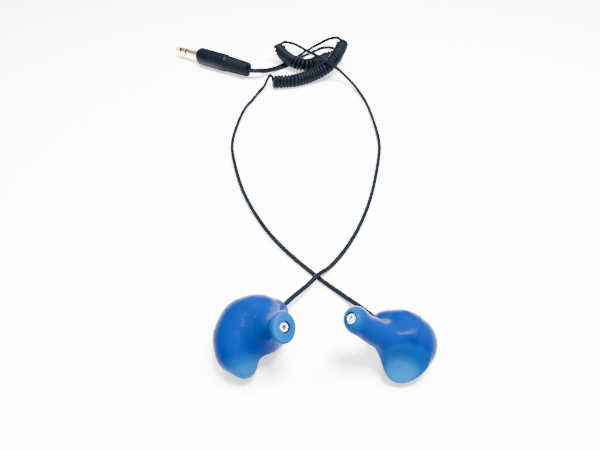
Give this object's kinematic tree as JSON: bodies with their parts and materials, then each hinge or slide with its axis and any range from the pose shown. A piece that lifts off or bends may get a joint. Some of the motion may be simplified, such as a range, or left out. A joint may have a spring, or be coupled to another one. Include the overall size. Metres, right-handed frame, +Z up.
{
  "type": "in ear monitors",
  "caption": "Pair of custom-moulded silicone in-ear monitors with wax guards, curly leads and a slim jack plug.",
  "frame": {"origin": "centre of the footprint of the two earpieces, on the surface they rest on", "axes": "+Z up, +X from the left earpiece to the right one, +Y from the earpieces towards the plug"},
  "size_m": [0.1081, 0.2087, 0.0217],
  "materials": {
    "silicone": "semi-gloss silicone, slightly translucent",
    "clear_tube": "clear",
    "guard_white": "satin",
    "mesh_grey": "satin",
    "damper_cloth": "woven",
    "can_steel": "brushed",
    "winding_copper": "enamelled wire",
    "magnet": "ground",
    "film": "film",
    "board_green": "solder mask",
    "cord_jacket": "satin",
    "gold": "polished gold plate",
    "ring_black": "gloss",
    "barrel_black": "satin gloss",
    "boot_rubber": "satin"
  },
  "bodies": {
    "leads": {"left_lead": "cord_jacket", "left_coil": "cord_jacket", "left_tail": "cord_jacket", "right_lead": "cord_jacket", "right_coil": "cord_jacket", "right_tail": "cord_jacket", "plug_tip": "gold", "plug_tip_insulator": "ring_black", "plug_ring": "gold", "plug_ring_insulator": "ring_black", "plug_sleeve": "gold", "plug_clamp": "can_steel"},
    "left_earpiece": {"left_shell": "silicone", "left_faceplate": "silicone", "left_sound_tube": "clear_tube", "left_guard_seat": "clear_tube", "left_damper": "damper_cloth", "left_receiver_can": "can_steel", "left_receiver_lid": "can_steel", "left_receiver_spout": "can_steel", "left_voice_coil": "winding_copper", "left_magnets": "magnet", "left_armature": "can_steel", "left_drive_rod": "can_steel", "left_diaphragm": "film", "left_terminal_board": "board_green", "left_wires": "winding_copper", "left_lead_grommet": "silicone"},
    "left_guard": {"left_wax_guard": "guard_white", "left_wax_mesh": "mesh_grey"},
    "right_earpiece": {"right_shell": "silicone", "right_faceplate": "silicone", "right_sound_tube": "clear_tube", "right_guard_seat": "clear_tube", "right_damper": "damper_cloth", "right_receiver_can": "can_steel", "right_receiver_lid": "can_steel", "right_receiver_spout": "can_steel", "right_voice_coil": "winding_copper", "right_magnets": "magnet", "right_armature": "can_steel", "right_drive_rod": "can_steel", "right_diaphragm": "film", "right_terminal_board": "board_green", "right_wires": "winding_copper", "right_lead_grommet": "silicone"},
    "right_guard": {"right_wax_guard": "guard_white", "right_wax_mesh": "mesh_grey"},
    "boot": {"plug_boot": "boot_rubber"},
    "barrel": {"plug_barrel": "barrel_black"}
  },
  "joints": [
    {"name": "left_earpiece_turn", "type": "hinge", "parent": "leads", "child": "left_earpiece", "pos_m": [-0.0117, 0.0113, 0.0046], "axis": [0.6409, 0.7611, -0.1001], "range_deg": [-40, 40]},
    {"name": "right_earpiece_turn", "type": "hinge", "parent": "leads", "child": "right_earpiece", "pos_m": [0.0153, 0.0065, 0.0052], "axis": [-0.5501, 0.7902, -0.2701], "range_deg": [-40, 40]},
    {"name": "left_guard_pull", "type": "slide", "parent": "left_earpiece", "child": "left_guard", "axis": [0.5398, -0.4198, 0.7297], "range_m": [0, 0.006]},
    {"name": "right_guard_pull", "type": "slide", "parent": "right_earpiece", "child": "right_guard", "axis": [-0.66, 0.13, 0.74], "range_m": [0, 0.006]},
    {"name": "boot_slide", "type": "slide", "parent": "leads", "child": "boot", "axis": [0.8634, -0.5045, 0], "range_m": [0, 0.0025]},
    {"name": "barrel_unscrew", "type": "hinge", "parent": "boot", "child": "barrel", "pos_m": [-0.0647, 0.1781, 0.0046], "axis": [-0.8634, 0.5045, 0], "range_deg": [0, 1800]}
  ],
  "couplings": [
    {"joint": "barrel_unscrew", "follows": "boot_slide", "rad_per_m": 12566}
  ]
}
